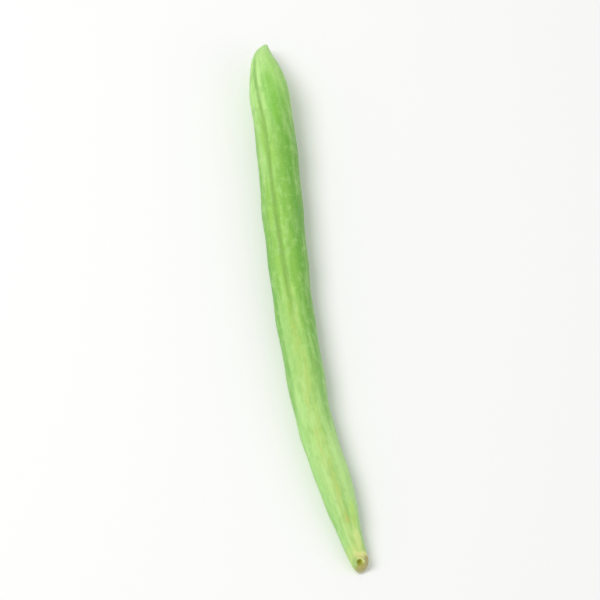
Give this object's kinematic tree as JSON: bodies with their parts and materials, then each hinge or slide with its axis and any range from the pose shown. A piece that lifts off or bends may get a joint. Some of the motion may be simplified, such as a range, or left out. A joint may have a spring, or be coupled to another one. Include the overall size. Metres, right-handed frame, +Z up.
{
  "type": "green bean",
  "caption": "Fresh green bean pod lying on its side: long, gently bowed and round, with a seam along its top, a broken stalk scar at the thin end and a short curled beak at the plump end.",
  "frame": {"origin": "middle of the bounding box in plan, on the surface that the pod lies on", "axes": "+X from the stalk scar to the beak, +Y to the side that the pod bows towards, +Z up"},
  "size_m": [0.1412, 0.013, 0.0107],
  "materials": {
    "bean_skin": "satin plant skin, mid green to pale yellow-green, with a faint waxy sheen"
  },
  "bodies": {
    "root": {"pod": "bean_skin"}
  },
  "joints": []
}
